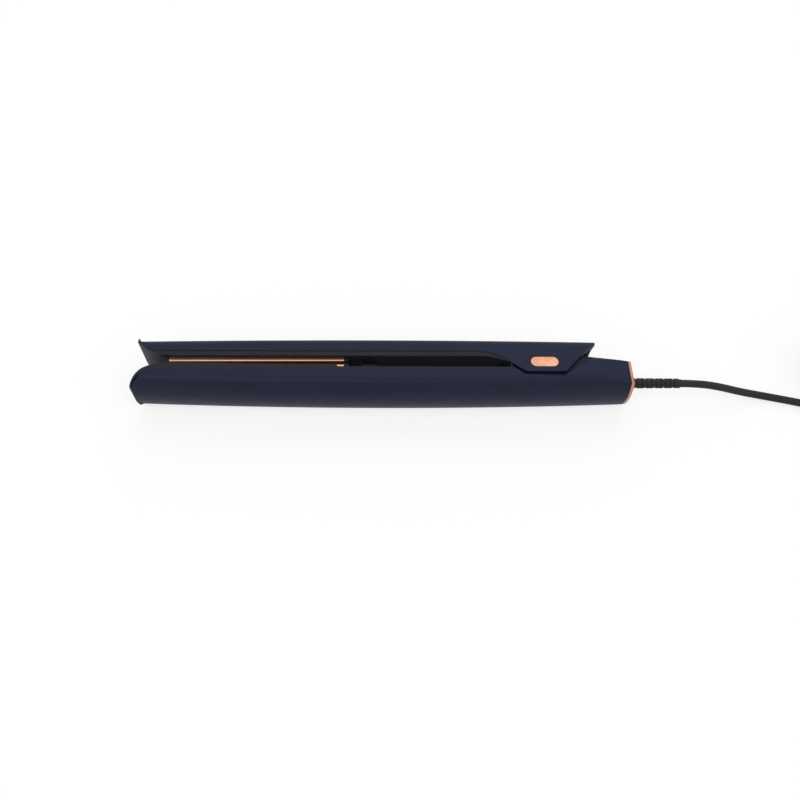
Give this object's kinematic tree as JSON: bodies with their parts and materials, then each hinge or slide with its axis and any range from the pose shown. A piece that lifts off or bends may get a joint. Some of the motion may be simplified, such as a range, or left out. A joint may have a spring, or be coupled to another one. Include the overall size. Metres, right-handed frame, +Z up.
{
  "type": "hair straightener",
  "caption": "Hair straightener lying on its side: hinged arms with floating plates, a key pad, a lock slider, a display window, a swivel lead and its plug.",
  "frame": {"origin": "middle of the body's flat side, on the surface that it lies on, measured without the lead", "axes": "+X from the tips to the lead, +Y from the lower arm's back to the upper arm's back, +Z up through the width of the arms"},
  "size_m": [0.5273, 0.0495, 0.0374],
  "materials": {
    "soft_shell": "soft-touch lacquer over moulded plastic, midnight blue",
    "dark_cover": "fine-textured heat-resistant plastic, near black",
    "copper_trim": "satin copper plating on plastic",
    "plate": "smooth copper-coloured plate coating",
    "plate_cap": "heat-resistant plastic",
    "silicone": "moulded silicone",
    "steel": "spring steel and plain steel",
    "ceramic": "heater bar wrapped in film",
    "display": "tinted glossy window",
    "key": "moulded keys",
    "pcb": "fibreglass board",
    "electric": "board components",
    "cord": "round lead with a matte jacket",
    "plug": "moulded plug",
    "pin": "plated plug pins",
    "bush": "plain bearing plastic"
  },
  "bodies": {
    "lower_arm": {"lower_shell": "soft_shell", "lower_inner_cover": "dark_cover", "rear_cover": "soft_shell", "end_ring": "copper_trim", "control_pad": "dark_cover", "control_board": "pcb", "key_switches": "electric", "board_parts": "electric", "hinge_bushes": "bush", "hinge_spring": "steel", "lower_screws": "steel", "lower_plate_carrier": "dark_cover", "lower_cushions": "silicone", "power_cord": "cord", "cord_hank": "cord", "cord_tie": "plug", "plug_body": "plug", "plug_pins": "pin"},
    "upper_arm": {"upper_shell": "soft_shell", "upper_inner_cover": "dark_cover", "display_window": "display", "display_module": "electric", "bumper": "silicone", "lock_keeper": "dark_cover", "hinge_pin": "steel", "hinge_caps": "copper_trim", "upper_screws": "steel", "upper_plate_carrier": "dark_cover", "upper_cushions": "silicone"},
    "lower_plate_float": {"lower_plate": "plate", "lower_heater": "ceramic", "lower_heater_clip": "steel", "lower_front_cap": "plate_cap", "lower_rear_cap": "plate_cap"},
    "upper_plate_float": {"upper_plate": "plate", "upper_heater": "ceramic", "upper_heater_clip": "steel", "upper_front_cap": "plate_cap", "upper_rear_cap": "plate_cap"},
    "less_key": {"key_less": "key"},
    "power_key": {"key_power": "key"},
    "more_key": {"key_more": "key"},
    "lock": {"lock_slider": "copper_trim"},
    "swivel": {"swivel_collar": "copper_trim", "strain_relief": "cord"}
  },
  "joints": [
    {"name": "arm_hinge", "type": "hinge", "parent": "lower_arm", "child": "upper_arm", "pos_m": [0.0931, -0.0006, 0.0155], "axis": [0, 0, -1], "range_deg": [0, 13], "stiffness_Nm_per_rad": 1.2, "springref_deg": 24.06, "deforming": ["hinge_spring"]},
    {"name": "lower_plate_float_slide", "type": "slide", "parent": "lower_arm", "child": "lower_plate_float", "axis": [0, -1, 0], "range_m": [0, 0.001], "stiffness_N_per_m": 2000, "deforming": ["lower_cushions"]},
    {"name": "upper_plate_float_slide", "type": "slide", "parent": "upper_arm", "child": "upper_plate_float", "axis": [0, 1, 0], "range_m": [0, 0.001], "stiffness_N_per_m": 2000, "deforming": ["upper_cushions"]},
    {"name": "less_press", "type": "slide", "parent": "lower_arm", "child": "less_key", "axis": [0, -1, 0], "range_m": [0, 0.0005], "stiffness_N_per_m": 300},
    {"name": "power_press", "type": "slide", "parent": "lower_arm", "child": "power_key", "axis": [0, -1, 0], "range_m": [0, 0.0005], "stiffness_N_per_m": 300},
    {"name": "more_press", "type": "slide", "parent": "lower_arm", "child": "more_key", "axis": [0, -1, 0], "range_m": [0, 0.0005], "stiffness_N_per_m": 300},
    {"name": "lock_slide", "type": "slide", "parent": "lower_arm", "child": "lock", "axis": [-1, 0, 0], "range_m": [0, 0.0035]},
    {"name": "cord_swivel", "type": "hinge", "parent": "lower_arm", "child": "swivel", "pos_m": [0.1449, -0.0058, 0.0155], "axis": [1, 0, 0], "continuous": true}
  ]
}
